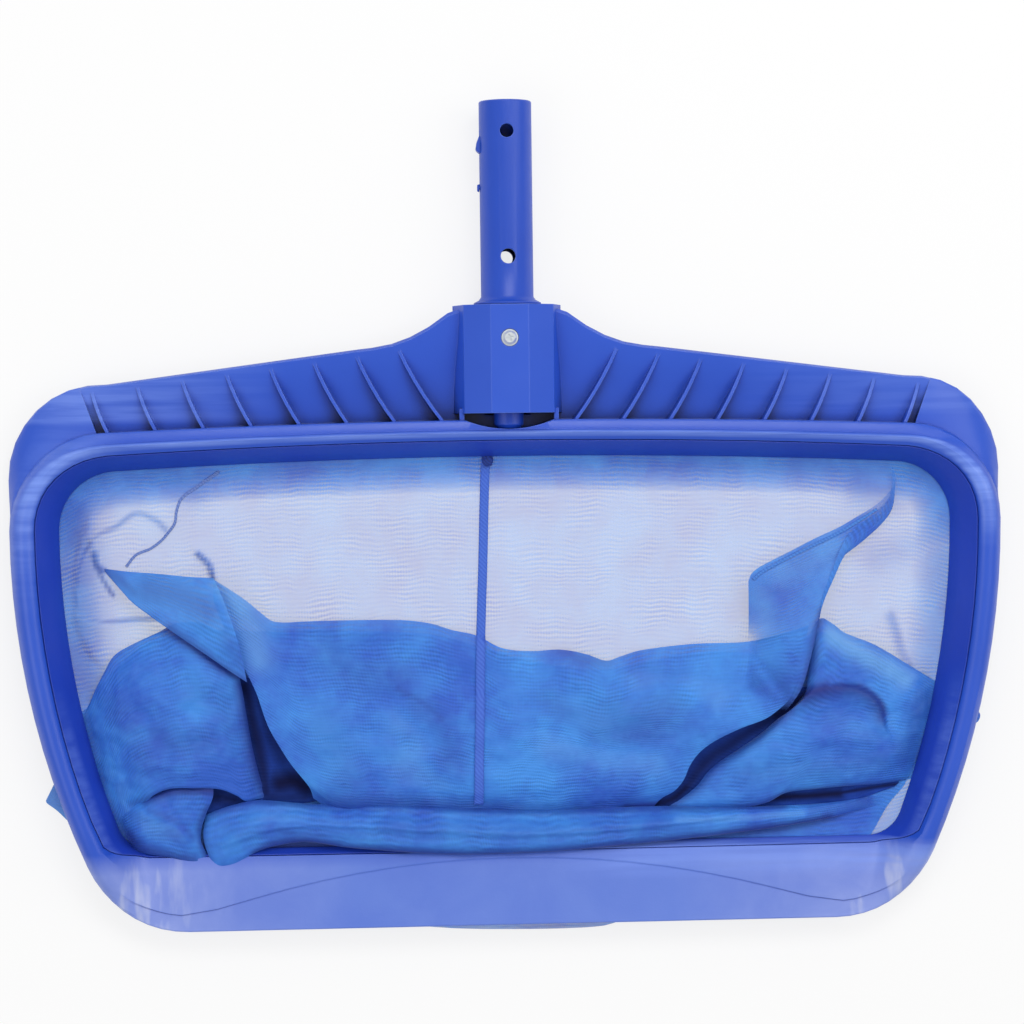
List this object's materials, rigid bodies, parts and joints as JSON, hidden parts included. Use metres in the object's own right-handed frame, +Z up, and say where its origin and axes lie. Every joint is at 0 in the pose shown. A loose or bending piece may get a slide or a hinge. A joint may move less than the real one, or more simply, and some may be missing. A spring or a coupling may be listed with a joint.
{
  "type": "leaf skimmer net",
  "caption": "Leaf skimmer net for a pool pole: moulded frame with ribbed shoulders and a scoop lip, snap-in ring holding a mesh bag, and a hollow shank with a snap button.",
  "frame": {"origin": "middle of the bounding box at the floor that the net lies on, mouth up", "axes": "+X across the mouth, +Y along the handle towards the shank's open end, +Z up out of the mouth"},
  "size_m": [0.542, 0.4504, 0.0398],
  "materials": {
    "frame_plastic": "moulded polypropylene, satin gloss",
    "ring_plastic": "moulded polypropylene, satin gloss",
    "mesh": "fine knitted polyester mesh, translucent",
    "seam_tape": "woven polyester binding",
    "screw_steel": "stainless",
    "spring_steel": "spring strip, bright"
  },
  "bodies": {
    "net": {"outer_frame": "frame_plastic", "retaining_ring": "ring_plastic", "handle_shank": "frame_plastic", "snap_spring": "spring_steel", "socket_bolt": "screw_steel", "head_washer": "screw_steel", "nut_washer": "screw_steel", "socket_nut": "screw_steel", "bag_left_panel": "mesh", "bag_right_panel": "mesh", "centre_seam_tape": "seam_tape", "left_seam_tape": "seam_tape", "right_seam_tape": "seam_tape", "hem_tape": "seam_tape", "hem_piping": "seam_tape"},
    "button": {"snap_button": "frame_plastic"}
  },
  "joints": [
    {"name": "snap_button_press", "type": "slide", "parent": "net", "child": "button", "axis": [1, 0, 0], "range_m": [0, 0.002], "stiffness_N_per_m": 1500, "springref_m": -0.001, "deforming": ["snap_spring"]}
  ]
}
